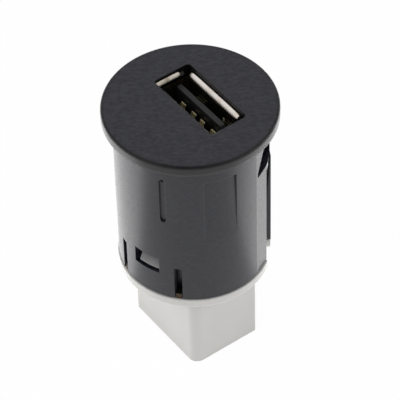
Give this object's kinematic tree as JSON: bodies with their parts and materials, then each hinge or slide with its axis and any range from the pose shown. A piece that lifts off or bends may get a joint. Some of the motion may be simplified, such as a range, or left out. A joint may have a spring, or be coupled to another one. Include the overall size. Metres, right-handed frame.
{
  "type": "vehicle interior data socket",
  "caption": "Round flush-fitting data socket for a vehicle dashboard: flanged barrel with a rectangular port in its face, flexing tabs, a spring arm and a pale rear connector shroud",
  "frame": {"origin": "middle of the open rim of the rear connector shroud, which is the lowest level of the part when it stands as in the picture", "axes": "Z runs along the barrel axis up to the face, X runs along the long side of the port opening, Y runs across the port towards the side the port is offset to"},
  "size_m": [0.025, 0.025, 0.0446],
  "materials": {
    "dark_housing": "fine spark-eroded grain, satin dark grey",
    "pale_housing": "smooth satin pale grey",
    "dark_carrier": "satin dark grey",
    "board": "solder mask over glass laminate with brown cut edges",
    "plated_sheet": "bright nickel plate",
    "black_insulator": "satin black",
    "gold_contact": "gold flash",
    "plated_terminal": "matt tin plate",
    "ferrite": "matt sintered dark grey",
    "chip_ochre": "moulded epoxy",
    "chip_black": "moulded epoxy",
    "chip_green": "laminated polymer",
    "chip_tan": "sintered ceramic"
  },
  "bodies": {
    "root": {"barrel_housing": "dark_housing", "rear_connector_housing": "pale_housing", "inner_carrier": "dark_carrier", "base_board": "board", "main_board": "board", "port_shell": "plated_sheet", "port_tongue": "black_insulator", "contact_1": "gold_contact", "contact_2": "gold_contact", "contact_3": "gold_contact", "contact_4": "gold_contact", "terminal_1": "plated_terminal", "terminal_2": "plated_terminal", "terminal_3": "plated_terminal", "terminal_4": "plated_terminal", "terminal_5": "plated_terminal", "common_mode_choke": "ferrite", "bulk_capacitor": "chip_ochre", "surge_protector": "chip_black", "resettable_fuse": "chip_green", "ferrite_bead": "ferrite", "filter_capacitor": "chip_tan"}
  },
  "joints": []
}
